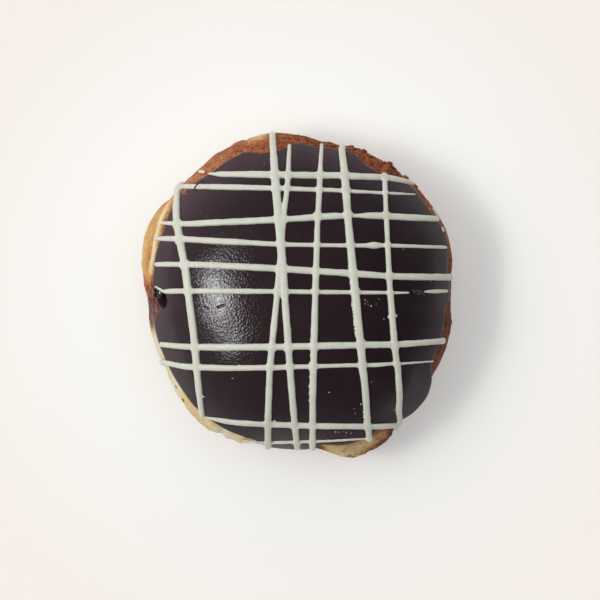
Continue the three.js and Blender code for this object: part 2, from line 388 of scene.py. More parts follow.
# %% Relief of the crust
# Strength, wave, octaves and seed of each layer of unevenness.
CRUST_LAYERS = [(0.28, 12.0, 2, 3.0), (0.13, 2.8, 3, 11.0), (0.07, 1.2, 2, 17.0)]
# Heading and half-width in degrees, climb, half-height in climb, and how far out it stands.
NICKS = {
    "top left notch": (107.8, 0.7, 0.05, 0.2, -0.45),
    "top left flat": (115.5, 3.0, 0.05, 0.25, -0.5),
    "left notch": (142, 2.0, 0.05, 0.25, -0.4),
    "left ledge flat": (164, 4.0, 0.05, 0.25, -0.5),
    "under the pit": (183, 5.0, 0.1, 0.3, -0.6),
    "upper right crag": (54.5, 1.5, 0.12, 0.14, 0.9),
    "upper right gap": (50.3, 2.8, 0.12, 0.25, -0.6),
    "right bump": (350, 0.8, 0.05, 0.08, 0.2),
    "lower right notch": (312, 1.6, 0.05, 0.3, -0.7),
    "lower left flat": (243.5, 4.5, 0.05, 0.25, -0.9),
    "bottom left flat": (254.5, 3.5, 0.05, 0.3, -1.0),
    "lower left flake": (240, 1.1, 0.06, 0.1, 0.5),
}
# The crags, in the same way, then their layers' length, thickness and slant, and how far these stand and cut.
CRAGS = (62, 32, 0.12, 0.2, 0.65)
CRAG_LENGTH = 2.4
CRAG_LAYER = 1.1
CRAG_SLANT = 0.3
CRAG_STANDING = 0.6
CRAG_CUT = 2.6
# Wave, octaves and seed of the crags' unevenness.
CRAG_UNEVEN = (1.0, 4, 23.0)
# The flaky band: heading, half-width and depth, how sharp its flakes' edges are, and its unevenness.
FLAKY = (228, 28, 0.3)
FLAKY_EDGE = 4
FLAKY_UNEVEN = (5.0, 2, 29.0)
# The pale fold beside the icing: heading, half-length, half-width and rise, and its distance from the axis.
FOLD = (158, 18, 0.75, 0.4)
FOLD_HEADINGS = (138, 142, 150, 156, 162.4, 168.8, 173.1, 178)
FOLD_DISTANCES = (45.0, 44.65, 43.98, 43.07, 42.3, 41.8, 41.7, 41.6)
# Climbs between which the relief fades in above the flat underside.
FADE_IN = (-0.97, -0.75)


def crust_fold(points, angle):
    """Where the crust has a pale fold, from 0 to 1."""
    at, half_length, half_width, _ = FOLD
    path = np.interp(np.degrees(angle), FOLD_HEADINGS, FOLD_DISTANCES)
    along = hump(angle, at, half_length) * (points[..., 2] > GIRTH_HEIGHT)
    return along * bell(from_axis(points), path, half_width)


def crust_relief(points, angle, climb):
    """How far the crust stands off the plain skin."""
    relief = layered(points, CRUST_LAYERS)
    at, half, middle, reach, depth = CRAGS
    broken = hump(angle, at, half) * bell(climb, middle, reach)
    along = MEAN_RADIUS * angle / CRAG_LENGTH
    layers = np.stack([along, points[..., 2] / CRAG_LAYER, CRAG_SLANT * along], axis=-1)
    relief += depth * broken * (CRAG_STANDING - CRAG_CUT * np.abs(field(layers, *CRAG_UNEVEN)))
    at, half, depth = FLAKY
    relief += depth * hump(angle, at, half) * np.tanh(FLAKY_EDGE * field(points, *FLAKY_UNEVEN))
    for at, half, middle, reach, out in NICKS.values():
        relief += out * hump(angle, at, half) * bell(climb, middle, reach)
    relief += FOLD[-1] * crust_fold(points, angle)
    return relief * ease(*FADE_IN, climb)


print(len(NICKS), "nicks, flats and flakes on the crust")

# %% Browning of the crust, with painted shade in its cracks and on its right side
FULL_BROWN = 0.7
# How much painted shade darkens the cracks among the crags, and the depth at which that is full.
CRACK_SHADE = 0.1
CRACK_DEPTH = 0.8
# Heading and half-width in degrees, height and half-height in millimetres, and how pale it is.
PALE = {
    "lower left band": (226, 37, 23.0, 8.5, 1.0),
    "start of the band": (200, 8.3, 23.0, 8.5, 1.0),
    "left lobe": (160, 18, 21.5, 6.5, 0.6),
    "upper left": (129, 15, 24.0, 9.0, 0.1),
    "bottom ledge": (290, 12, 23.0, 7.0, 1.0),
    "top edge": (102.8, 5, 19.0, 6.8, 0.72),
    "ring at the back": (0, 400, 12.5, 3.4, 0.85),
}
# Heading and half-width in degrees, and how much browner it is, between the two heights where that begins.
BROWNER = {
    # The right side's extra brown is partly its own browning and partly painted shade, away from the lamps.
    "shaded right side": (352, 32, 0.24),
    "top": (92, 16, 0.06),
    "upper left": (124, 14, 0.02),
    "crags": (58, 14, 0.04),
    "bottom ledge": (292, 10, 0.05),
    "bottom right": (307, 3.5, 0.35),
    "bottom left": (276.5, 3, 0.35),
    "lower left": (229, 9, 0.14),
    "above the pit": (175.5, 3, 0.2),
}
BROWNER_FROM = (GIRTH_HEIGHT - 3, GIRTH_HEIGHT)
# Rims that are brown from some distance off the axis on: heading, half-width, distance, and how much browner.
BROWN_RIMS = {"bottom right": (300, 9, 48.0, 0.4), "left lobe": (152, 10, 44.8, 0.09)}
RIM_BLUR = 0.4
# The torn ledge's brown, upright specks: heading, half-width, how much browner, shape and unevenness.
CRUMBLY = (293, 13, 0.4)
SPECK_SHAPE = [1, 1, 0.3]
SPECK_UNEVEN = (1.1, 2, 67.0)
# How patches wander in height and in heading, and how uneven the rims are: strength, wave, octaves and seed.
WANDER_UP = (1.3, 7.0, 2, 31.0)
WANDER_ROUND = (math.radians(3), 7.0, 3, 35.0)
RIM_UNEVEN = (0.4, 2.0, 2, 33.0)


def crust_rim(points):
    """How far points are from the axis, give or take a little."""
    return from_axis(points) + layered(points, [RIM_UNEVEN])


def crust_brown(points, angle, relief):
    """How brown the crust is, from 0, cream, to 1, dark. Cracks are painted darker than what stands out, as
    painted shade.
    """
    height = points[..., 2] + layered(points, [WANDER_UP])
    wandering = angle + layered(points, [WANDER_ROUND])
    pale = crust_fold(points, angle)
    for at, half, middle, reach, strength in PALE.values():
        pale = np.maximum(pale, strength * hump(wandering, at, half) * bell(height, middle, reach, 4))
    shaded_cracks = hump(angle, *CRAGS[:2]) * np.clip(-relief, 0, CRACK_DEPTH)
    brown = FULL_BROWN * (1 - pale) + CRACK_SHADE * shaded_cracks
    for at, half, more in BROWNER.values():
        brown += more * hump(wandering, at, half) * ease(*BROWNER_FROM, height)
    at, half, more = CRUMBLY
    brown += more * hump(angle, at, half) * np.clip(field(points * SPECK_SHAPE, *SPECK_UNEVEN), 0, 1)
    rim, distance = 0 * brown, crust_rim(points)
    for at, half, start, more in BROWN_RIMS.values():
        rim += more * hump(angle, at, half) * ease(start - RIM_BLUR, start + RIM_BLUR, distance)
    return brown + rim


print(len(PALE), "pale patches and", len(BROWNER) + len(BROWN_RIMS), "browner ones")

# %% Painted shade in and below the pit and on the ledge, and wet places
# Shares of the pit's rim between which its dark inside ends: partly the filling, partly painted shade of the
# deep hole.
PIT_FILLING_AND_SHADE = (0.9, 1.12)
# Painted shade on the outermost crust below the pit: heading, half-width, two distances where it begins, and
# how dark.
PIT_SHADE = (185.5, 4, 41.8, 42.3, 0.7)
# How much painted shade darkens the torn ledge, and the heights where that begins.
LEDGE_PAINTED_SHADE = 0.19
LEDGE_SHADE_HEIGHTS = (GIRTH_HEIGHT - 6, GIRTH_HEIGHT - 2)
# The smear of filling: heading, half-width, height, half-height, how strong, and its unevenness.
WET = (186.2, 7.2, 26.0, 9.0, 1.1)
WET_UNEVEN = (0.7, 2.0, 2, 37.0)


def crust_shade_and_filling(points, angle):
    """Where the crust is painted dark, from 0 to 1: the pit's inside as filling and painted shade, and
    painted shade below the pit and on the ledge.
    """
    pit_filling_and_shade = 1 - ease(*PIT_FILLING_AND_SHADE, pit_distance(points))
    at, half, start, end, dark = PIT_SHADE
    outermost = dark * (hump(angle, at, half) * ease(start, end, crust_rim(points)))
    ledge_shade = LEDGE_PAINTED_SHADE * hump(angle, *CRUMBLY[:2]) * ease(*LEDGE_SHADE_HEIGHTS, points[..., 2])
    return np.maximum(pit_filling_and_shade, np.maximum(outermost, ledge_shade))


def crust_wet(points, angle):
    """Where the filling has smeared and soaked the crust, from 0 to 1."""
    at, half, middle, reach, strong = WET
    smear = hump(angle, at, half) * bell(points[..., 2], middle, reach, 4)
    return np.clip(smear * (strong + layered(points, [WET_UNEVEN])), 0, 1)


print("hollow at the pit's mouth:", crust_shade_and_filling(PIT_MOUTH[None], np.array([PIT_HEADING])).round(2))

# %% Make the crust
BELLY_ROWS = 38
FLANK_ROWS = 74
HIDDEN_ROWS = 9
TUCK = 0.06
TOP_CLIMB = 0.985
around = headings(CRUST_COLUMNS)
edge = edge_climb(around) + TUCK
rows = [np.full_like(around, climb) for climb in np.linspace(-1, 0, BELLY_ROWS, endpoint=False)]
rows += [edge * share for share in np.linspace(0, 1, FLANK_ROWS, endpoint=False)]
rows += [edge + (TOP_CLIMB - edge) * share for share in np.linspace(0, 1, HIDDEN_ROWS)]
crust_climb = np.array(rows)
crust_angle = np.broadcast_to(around, crust_climb.shape)
plain = skin(crust_angle, crust_climb)
relief = crust_relief(plain, crust_angle, crust_climb)
crust_points = plain + outward(crust_angle, crust_climb) * relief[..., None]
crust_points = pressed(crust_points, PIT_DEPTH, PIT_RIM)
crust = add_piece("crust", *closed_rows(crust_points, [0, 0, 0], [0, 0, DOUGH_HEIGHT]))
note_on_points(crust, "brown", np.append(crust_brown(plain, crust_angle, relief), [FULL_BROWN] * 2))
note_on_points(crust, "wet", np.append(crust_wet(plain, crust_angle), [0, 0]))
# The crust is painted dark in the pit, as filling and painted shade, and with painted shade below it and on
# the ledge.
note_on_points(crust, "shade_and_filling", np.append(crust_shade_and_filling(plain, crust_angle), [0, 0]))
print(triangles(crust), "and a relief from", relief.min().round(2), "to", relief.max().round(2))

# %% [markdown]
# ## The chocolate icing
#
# The icing is a skin of less than two millimetres that hugs the dome and ends in a rounded lip. A
# solidify modifier would give it an even rim, but the lip has to roll under and meet the crust, so its
# section is laid out row by row: a sunk underside, the lip's quarter round, and the face. A faint waviness in
# the face keeps its reflections from looking machined.

# %% Rows of the icing
LIP_SHARE = 0.045
SUNK = -0.6
ICING_COLUMNS = 560
# Two ends seen from above, half-width and depth of each dent.
DENTS = [(-22.1, -3.6, -20.2, -2.75, 0.26, 0.12), (-26.3, -3.45, -25.2, -3.9, 0.24, 0.09)]
around = headings(ICING_COLUMNS)


def dented(points):
    """How deep the dents are at points of the icing."""
    depth = np.zeros(points.shape[:-1])
    for x, y, other_x, other_y, half, deep in DENTS:
        start, along = np.array([x, y]), np.array([other_x - x, other_y - y])
        share = np.clip((points[..., :2] - start) @ along / (along @ along), 0, 1)
        gap = np.linalg.norm(points[..., :2] - start - share[..., None] * along, axis=-1)
        depth += deep * bell(gap, 0, half)
    return depth


def icing_row(drop, lift):
    """One row of the icing: its points right round."""
    return lifted(around, under_icing(around, drop), lift + 0 * around)


print(len(DENTS), "dents,", icing_row(1, 0)[:, 2].min().round(2), "mm is the lowest point of the edge")

# %% Make the icing
UNDER_ROWS = 7
LIP_ROWS = 9
FACE_ROWS = 134
FACE_CROWDING = 1.25
TOP_DROP = 0.012
# Waviness all over, on the sides, and in runs down the sides: strength, wave, octaves and seed.
FACE_LAYERS = [(0.06, 13.0, 2, 41.0), (0.008, 3.2, 2, 47.0)]
SIDE_LAYERS = [(0.09, 6.0, 2, 43.0)]
RUN_LAYERS = [(0.022, 1.0, 2, 45.0)]
RUN_SHAPE = [1.8, 1.8, 9.0]
SIDE_DROPS = (0.45, 0.85)
WAVY_FROM = [0, 0, -40]
rows = [icing_row(drop, SUNK) for drop in np.linspace(TOP_DROP, 1, UNDER_ROWS)]
for round_share in np.linspace(1, 0, LIP_ROWS):
    rows.append(icing_row(1 - LIP_SHARE * (1 - round_share), ICING_FACE * math.sqrt(1 - round_share**2)))
face_start = len(rows)
face_drops = 1 - LIP_SHARE - (1 - LIP_SHARE - TOP_DROP) * np.linspace(0, 1, FACE_ROWS) ** FACE_CROWDING
rows += [icing_row(drop, ICING_FACE) for drop in face_drops[1:]]
icing_points = np.array(rows)
face = icing_points[face_start:]
on_side = ease(*SIDE_DROPS, face_drops[1:])[:, None]
waviness = layered(face, FACE_LAYERS)
waviness += on_side * (layered(face, SIDE_LAYERS) + layered(face / RUN_SHAPE, RUN_LAYERS))
icing_points[face_start:] += unit(face - WAVY_FROM) * (waviness - dented(face))[..., None]
ends = [0, 0, DOUGH_HEIGHT + SUNK], [0, 0, DOUGH_HEIGHT + ICING_FACE]
icing = add_piece("chocolate_icing_cap", *closed_rows(icing_points, *ends))
print(triangles(icing))

# %% Painted light and dull parts of the icing
# Painted light on the upper left: heading, drops between which that begins, and how narrow it is.
LIT_SIDE = 142
LIT_DROPS = (0.3, 0.95)
LIT_POWER = 1.5
# Painted light on the left half, a little all over: how much, and between which places across that ends.
LEFT_LIGHT = 0.28
LEFT_ENDS = (5, 38)
# The sides are dull and get a painted violet sheen, less so round the pit and more so on one drip: heading,
# half-width and change.
DULL_DROPS = (0.6, 0.95)
DULL_SIDES = 0.6
GLOSSY_LEFT = (math.degrees(PIT_HEADING), 50, 0.5)
DULL_DRIP = (318, 15, 0.4)
drops = np.concatenate([np.ones(face_start), face_drops[1:]])
# Painted light: the icing is painted lighter on its upper left and on its left half, where the lamps fall.
towards_light = 0.5 + 0.5 * np.cos(around - math.radians(LIT_SIDE))
lighter = ease(*LIT_DROPS, drops)[:, None] * towards_light**LIT_POWER
lighter = np.maximum(lighter, LEFT_LIGHT * (1 - ease(*LEFT_ENDS, icing_points[..., 0])))
note_on_points(icing, "lighter", np.append(lighter, [LEFT_LIGHT] * 2))
dullness = 1 - GLOSSY_LEFT[2] * hump(around, *GLOSSY_LEFT[:2])
dullness = dullness * (DULL_SIDES + DULL_DRIP[2] * hump(around, *DULL_DRIP[:2]))
side = ease(*DULL_DROPS, drops)[:, None] * dullness
note_on_points(icing, "side", np.append(side, [0, 0]))
print("dullest side", side.max().round(2), "and lightest icing", lighter.max().round(2))

# %% [markdown]
# ## The piped lines
#
# A thin nozzle was drawn across the doughnut sixteen times. Each line lies on the icing, sags over its
# lip, and melts into the lines it crosses. Bevelled curves would keep hard creases there, so every line is a
# tube that is draped on the dome from above, and then all tubes are fused by a voxel remesh and softened,
# which fills the corners as wet icing does. Each point of a line is a place seen from above and its width.

# %% Where the lines run
LINES_DOWN = [
    [(-33.1, 33.2, 2.4), (-33.8, 27.6, 2.2), (-33.9, 22.1, 2.3), (-32.9, 15.9, 2.4), (-31.2, 7.1, 2.3),
     (-30.1, -2.0, 2.4), (-28.8, -12.0, 2.3), (-27.8, -22.0, 2.2), (-27.2, -28.2, 2.0), (-26.5, -34.6, 1.8)],
    [(-6.8, 46.7, 1.7), (-6.4, 40.0, 2.1), (-6.0, 34.2, 2.4), (-4.9, 21.4, 2.4), (-3.8, 8.6, 2.5),
     (-3.1, -1.4, 2.2), (-2.3, -12.8, 2.1), (-1.3, -25.7, 2.0), (-0.3, -37.0, 1.9), (0.6, -43.9, 1.8)],
    [(-2.0, 42.8, 1.1), (-2.2, 36.0, 1.5), (-2.4, 31.4, 1.6), (-3.4, 22.8, 1.6), (-4.3, 11.4, 1.8),
     (-5.4, -0.6, 1.8), (-6.6, -12.8, 1.9), (-7.6, -22.8, 1.9), (-8.3, -34.2, 2.0), (-8.3, -44.0, 2.0)],
    [(7.3, 43.0, 1.1), (6.9, 36.0, 1.5), (6.7, 31.4, 1.7), (6.1, 18.5, 1.7), (5.6, 4.3, 1.9),
     (5.2, -10.0, 2.0), (4.9, -27.1, 2.0), (5.4, -43.9, 1.9)],
    [(13.3, 42.3, 2.0), (14.0, 31.4, 2.3), (14.8, 20.8, 2.3), (15.7, 11.4, 2.3), (16.7, 0.9, 2.5),
     (18.1, -12.3, 2.4), (19.3, -24.2, 2.1), (20.1, -34.2, 1.9), (20.8, -41.3, 1.7)],
    [(25.1, 34.6, 1.6), (25.4, 25.7, 1.4), (25.9, 15.7, 1.5), (26.4, 4.3, 1.7), (27.1, -4.9, 1.9),
     (27.9, -14.3, 2.0), (29.1, -24.8, 1.9), (29.5, -31.4, 2.0), (28.6, -37.7, 1.9)],
]
LINES_ACROSS = [
    [(-25.2, 34.5, 0.5), (-21.0, 34.3, 1.8), (-10.3, 34.1, 2.1), (12.5, 33.8, 2.1), (26.8, 33.2, 2.0),
     (33.8, 31.6, 1.8)],
    [(-33.4, 30.8, 1.6), (-18.8, 30.6, 1.8), (-1.7, 30.1, 1.5), (12.5, 29.6, 1.3), (22.5, 29.0, 1.0),
     (30.0, 28.7, 0.9), (34.3, 28.5, 0.5)],
    [(-39.0, 20.5, 0.9), (-35.0, 20.3, 1.4), (-30.2, 20.2, 1.8), (-16.0, 20.8, 2.0), (-1.7, 21.5, 1.9),
     (11.1, 22.4, 2.0), (16.8, 22.4, 1.0), (21.5, 22.5, 2.1), (28.0, 22.2, 2.0), (40.7, 21.4, 1.9)],
    [(40.7, 21.6, 1.6), (39.9, 23.2, 1.3), (38.7, 24.8, 0.7)],
    [(-40.8, 16.0, 0.7), (-37.5, 16.0, 1.5), (-33.1, 15.9, 1.9), (-18.8, 15.1, 1.85), (-4.6, 14.3, 1.4),
     (12.5, 14.0, 1.2), (20.4, 14.0, 1.2), (22.0, 14.1, 2.6), (23.8, 14.0, 1.2), (43.0, 13.7, 1.0)],
    [(-40.2, 8.8, 1.4), (-27.4, 8.6, 1.9), (-7.4, 7.6, 2.0), (11.1, 6.4, 1.9), (26.8, 5.4, 1.9),
     (44.2, 5.3, 2.0)],
    [(-37.6, 1.1, 1.2), (-36.6, 1.2, 1.5), (-27.4, 1.2, 1.7), (1.1, 0.9, 1.4), (20.0, 0.7, 1.2),
     (32.4, 0.6, 0.7)],
    [(36.0, 0.9, 0.6), (39.0, 1.0, 1.2), (43.4, 1.1, 1.0)],
    [(-38.8, -14.0, 1.5), (-31.6, -14.7, 1.8), (-21.7, -14.9, 2.0), (-4.6, -14.7, 2.0), (12.5, -14.3, 2.0),
     (29.6, -14.0, 1.9), (40.0, -13.2, 1.7), (42.3, -13.0, 2.1)],
    [(-39.3, -18.7, 1.5), (-36.5, -19.4, 1.6), (-31.6, -20.5, 1.8), (-20.2, -20.8, 1.8), (-4.6, -20.5, 1.6),
     (12.5, -20.0, 1.2), (24.5, -19.8, 1.3), (31.0, -19.4, 0.8), (39.4, -18.8, 0.6)],
    [(-25.8, -34.8, 0.5), (-21.5, -35.6, 1.6), (-17.4, -36.2, 1.8), (-1.7, -36.9, 1.9), (12.5, -37.2, 1.9),
     (29.4, -37.5, 1.7)],
    [(-15.3, -41.6, 1.2), (-6.0, -41.9, 1.3), (2.6, -41.6, 1.2), (11.1, -41.3, 0.9), (20.4, -40.8, 0.7)],
]
SPURS = [
    [(-40.2, 2.9, 0.6), (-38.7, 1.9, 0.8), (-37.0, 0.9, 1.1)],
    [(-27.7, 35.1, 1.1), (-25.7, 34.7, 1.2)],
    [(-27.2, -28.4, 0.8), (-26.3, -29.2, 0.45), (-25.5, -28.8, 0.25)],
    [(-7.0, -36.6, 0.9), (-5.8, -35.3, 0.4)],
    [(-2.2, -10.4, 0.9), (-1.1, -9.7, 0.4)],
    [(25.8, -6.3, 0.9), (27.1, -6.1, 1.0)],
    [(28.8, -5.9, 0.8), (27.5, -5.8, 1.0)],
    [(-4.1, 21.5, 0.9), (-4.1, 15.0, 1.6), (-4.2, 8.0, 1.8), (-4.3, 2.5, 0.9)],
    [(-16.2, -20.3, 0.8), (-16.0, -19.6, 0.3)],
    [(-38.7, -18.9, 1.7), (-37.3, -19.2, 1.8)],
]
print(len(LINES_DOWN), "lines down,", len(LINES_ACROSS), "strokes across,", len(SPURS), "spurs")

# %% Paths on the doughnut
LINE_STEP = 0.5
FEWEST_STOPS = 6
PATH_SOFTNESS = 9
WIDTH_SOFTNESS = 3
CRUST_BED = 0.35
# How far below and above the icing's edge, in climb, a line comes down to the crust.
BED_BELOW = 0.07
BED_ABOVE = 0.02
CLIMB_LIMITS = (0.08, 0.995)
HALVINGS = 30


def bed(angle, climb):
    """How high above the skin a line lies: on the icing, or lower on the crust beside it."""
    edge = edge_climb(angle)
    return CRUST_BED + (ICING_FACE - CRUST_BED) * ease(edge - BED_BELOW, edge + BED_ABOVE, climb)


def drape(across, up):
    """Heading and climb of the places that are seen at plan positions from straight above."""
    angle, wanted = np.arctan2(up, across), np.hypot(across, up)
    low, high = (np.full_like(wanted, limit) for limit in CLIMB_LIMITS)
    for _ in range(HALVINGS):
        middle = (low + high) / 2
        outside = from_axis(lifted(angle, middle, bed(angle, middle))) > wanted
        low, high = np.where(outside, middle, low), np.where(outside, high, middle)
    return angle, low


def softened(values, reach):
    """A row of values with its corners rounded, and its two ends kept."""
    reach = min(reach, len(values) - 2)
    weights = np.hanning(2 * reach + 3)[1:-1]
    head = 2 * values[0] - values[reach:0:-1]
    tail = 2 * values[-1] - values[-2 : -reach - 2 : -1]
    return np.convolve(np.concatenate([head, values, tail]), weights / weights.sum(), mode="valid")


def nozzle_path(knots):
    """Plan positions and widths along a line, evenly spaced, without corners."""
    knots = np.array(knots, float)
    travelled = np.append(0, np.cumsum(np.hypot(*np.diff(knots[:, :2], axis=0).T)))
    stops = np.linspace(0, travelled[-1], max(FEWEST_STOPS, int(travelled[-1] / LINE_STEP)))
    across, up, width = (np.interp(stops, travelled, column) for column in knots.T)
    return softened(across, PATH_SOFTNESS), softened(up, PATH_SOFTNESS), softened(width, WIDTH_SOFTNESS)


print("first line has", len(nozzle_path(LINES_DOWN[0])[0]), "stops")

# %% Tubes of icing
LINE_RISE = 0.72
LINE_SIDES = 16
LINE_SQUARENESS = 0.8
BLUNT_END = 0.02
# The slow and quick swells of a hand-held nozzle: shares of the width, and how far apart they are.
SLOW_SWELL, SLOW_WAVE = 0.09, 4.0
QUICK_SWELL, QUICK_WAVE = 0.06, 1.1
# Width at which a line has its full rise, and the least and most of it that narrow and wide lines have.
FULL_WIDTH = 1.8
RISE_LIMITS = (0.4, 1.15)
# Lines, seed of the first one, and how far they lie above the others.
STROKES = [(LINES_ACROSS, 51, 0.0), (LINES_DOWN, 71, 0.18), (SPURS, 91, 0.2)]


def piped(knots, seed, on_top, rise=LINE_RISE):
    """A tube of icing along a line, round at both ends, with the small swells of a hand-held nozzle."""
    across, up, width = nozzle_path(knots)
    angle, climb = drape(across, up)
    shares, knees = np.linspace(0, 1, len(across)), np.linspace(0, 1, np.size(on_top))
    centre = lifted(angle, climb, bed(angle, climb) + np.interp(shares, knees, np.ravel(on_top)))
    ahead = unit(np.gradient(centre, axis=0))
    side = unit(np.cross(ahead, outward(angle, climb)))
    normal = np.cross(side, ahead)
    slow, quick = field(centre, SLOW_WAVE, 2, seed), field(centre, QUICK_WAVE, 1, seed)
    width = width * (1 + SLOW_SWELL * slow + QUICK_SWELL * quick)
    travelled = np.append(0, np.cumsum(np.linalg.norm(np.diff(centre, axis=0), axis=1)))
    to_end = np.minimum(travelled, travelled[-1] - travelled)
    full = np.sqrt(1 - (1 - np.clip(to_end / (width / 2), BLUNT_END, 1)) ** 2)
    half = width / 2 * full
    tall = rise * np.clip(width / FULL_WIDTH, *RISE_LIMITS) * full
    turn = np.linspace(0, 2 * np.pi, LINE_SIDES, endpoint=False)
    over, up_side = (np.sign(wave) * np.abs(wave) ** LINE_SQUARENESS for wave in (np.cos(turn), np.sin(turn)))
    rings = centre[:, None] + side[:, None] * (half[:, None] * over)[..., None]
    rings = rings + normal[:, None] * (tall[:, None] * up_side)[..., None]
    return closed_rows(rings, centre[0], centre[-1])


tubes = [piped(knots, seed + i, lift) for lines, seed, lift in STROKES for i, knots in enumerate(lines)]
print(len(tubes), "tubes of", LINE_SIDES, "sides")

# %% [markdown]
# ## Lumps
#
# Swellings where wet lines cross, blobs of filling, flakes and crumbs are all irregular lumps. Metaballs
# would blend them, but can't be flat and ragged. So each one is a fine ball that is stretched along three
# axes and pushed about by noise, and set on the icing or on the crust.

# %% Lumps
LUMP_FINENESS = 2
LUMP_WAVE = 0.9
# How far a lump stands up, as a share of its height, and how much its direction leans.
LUMP_STANDING = 0.45
LUMP_LEAN = 0.2
FLAKE_LIFT = 0.1
FLAKE_ROUGHNESS = 0.5


def lump(centre, axes, radii, seed, roughness):
    """An irregular closed lump: a fine ball, stretched along three axes and pushed about by noise."""
    ball = bmesh.new()
    bmesh.ops.create_icosphere(ball, subdivisions=LUMP_FINENESS, radius=1)
    unit_points = np.array([tuple(vertex.co) for vertex in ball.verts])
    faces = [[vertex.index for vertex in face.verts] for face in ball.faces]
    ball.free()
    uneven = unit_points * (1 + roughness * field(unit_points, LUMP_WAVE, 2, seed))[:, None]
    return uneven * radii @ np.array(axes) + centre, faces


def on_icing(across, up, radii, seed, roughness, turn):
    """A lump that lies on the icing at a place seen from above."""
    angle, climb = drape(np.array(across), np.array(up))
    normal = outward(angle, climb)
    level = unit(np.cross(normal, [math.sin(turn), math.cos(turn), LUMP_LEAN]))
    centre = lifted(angle, climb, bed(angle, climb)) + normal * radii[2] * LUMP_STANDING
    return lump(centre, [level, np.cross(normal, level), normal], radii, seed, roughness)


def on_crust(heading, height, radii, seed, turn, lean):
    """A flat lump that leans off the crust, at a heading in degrees and a height."""
    angle, climb = np.array(math.radians(heading)), climb_at_height(np.array(height))
    normal = outward(angle, climb)
    relief = crust_relief(skin(angle, climb)[None], angle[None], climb[None])[0]
    level = unit(np.cross([0, 0, 1], normal))
    long_side = level * math.cos(turn) + np.cross(normal, level) * math.sin(turn)
    short_side = np.cross(normal, long_side) * math.cos(lean) + normal * math.sin(lean)
    axes = [long_side, short_side, np.cross(long_side, short_side)]
    centre = pressed(lifted(angle, climb, relief + FLAKE_LIFT), PIT_DEPTH, PIT_RIM)
    return lump(centre, axes, radii, seed, FLAKE_ROUGHNESS)


print("faces in a lump:", len(lump(PIT_MOUTH, np.eye(3), (1, 1, 1), 0.0, 0.0)[1]))

# %% Fuse the lines
SWELLING = 0.85
SWELLING_HEIGHT = 0.68
SWELLING_ROUGHNESS = 0.15
SWELLING_SEED = 95
# Which line down has a ragged edge, from where to where up the picture, on which side, and how many teeth.
RAGGED = [(4, -2.5, -11.3, -1, 12), (4, -33.5, -37.0, -1, 6), (3, -13.0, -30.0, -1, 9), (4, 8.0, 3.5, -1, 4)]
# How far a tooth strays and how fast that changes, its length and how that changes, and its other radii.
TOOTH_STRAY = (0.4, 9)
TOOTH_LENGTH = (0.3, 0.1, 7)
TOOTH_RADII = (0.24, 0.4)
TOOTH_ROUGHNESS = 0.4
TOOTH_SEED = 301


def teeth():
    """Small teeth on the edges of lines, where the icing had begun to set."""
    forms = []
    for line, first, last, side, count in RAGGED:
        across, up, width = nozzle_path(LINES_DOWN[line])
        for place in np.linspace(first, last, count):
            here = np.abs(up - place - TOOTH_STRAY[0] * math.sin(TOOTH_STRAY[1] * place)).argmin()
            length, change, pace = TOOTH_LENGTH
            radii = (length + change * math.sin(pace * place), *TOOTH_RADII)
            beside = across[here] + side * 0.5 * width[here]
            seed = TOOTH_SEED + len(forms)
            forms.append(on_icing(beside, up[here], radii, seed, TOOTH_ROUGHNESS, place))
    return forms


def swellings():
    """A lump at each place where two lines cross."""
    forms = []
    for across, up, width in map(nozzle_path, LINES_DOWN):
        for other_across, other_up, other_width in map(nozzle_path, LINES_ACROSS):
            gaps = np.hypot(across[:, None] - other_across, up[:, None] - other_up)
            here, there = np.unravel_index(gaps.argmin(), gaps.shape)
            if gaps[here, there] < LINE_STEP:
                spread = SWELLING * (width[here] + other_width[there]) / 2
                radii = (spread, spread, SWELLING_HEIGHT)
                seed = SWELLING_SEED + len(forms)
                forms.append(on_icing(across[here], up[here], radii, seed, SWELLING_ROUGHNESS, 0.0))
    return forms


crossings = swellings()
white_lines = add_piece("white_lines", *together(tubes + crossings + teeth()))
melted(white_lines, voxel=0.22, rounds=5, faces_kept=0.52)
print(len(crossings), "crossings,", triangles(white_lines))

# %% [markdown]
# ## Filling, threads and crumbs
#
# At the pit the wet filling wells up and smears over the crust. Behind the lumps that show, it keeps the
# solid's own form, a channel and a pocket. A thread of chocolate crosses one line, and a smear covers
# another. Chips of white icing and crumbs of crust lie on the cap. Particles could scatter them, but each one
# here has its place, so they are small lumps given one by one. Only flakes of crust are strewn, from a fixed
# seed.

# %% The filling
# Across, up and out from the pit's mouth, three radii, and how far its top leans out in degrees.
FILLING_LUMPS = [
    (0.8, -4.2, -3.4, 2.9, 1.5, 1.8, 0),
    (0.0, 0.2, -3.8, 2.7, 3.0, 1.0, 0),
    (-1.9, -0.9, -0.3, 1.5, 0.5, 1.2, 24),
    (-0.6, -1.8, -0.2, 1.2, 0.5, 1.1, 26),
    (-1.3, -2.6, 0.5, 1.3, 0.7, 0.9, 0),
    (-2.1, -1.7, 1.3, 1.7, 0.9, 0.6, 0),
    (-2.6, -2.4, 0.6, 1.2, 1.0, 1.0, 0),
]
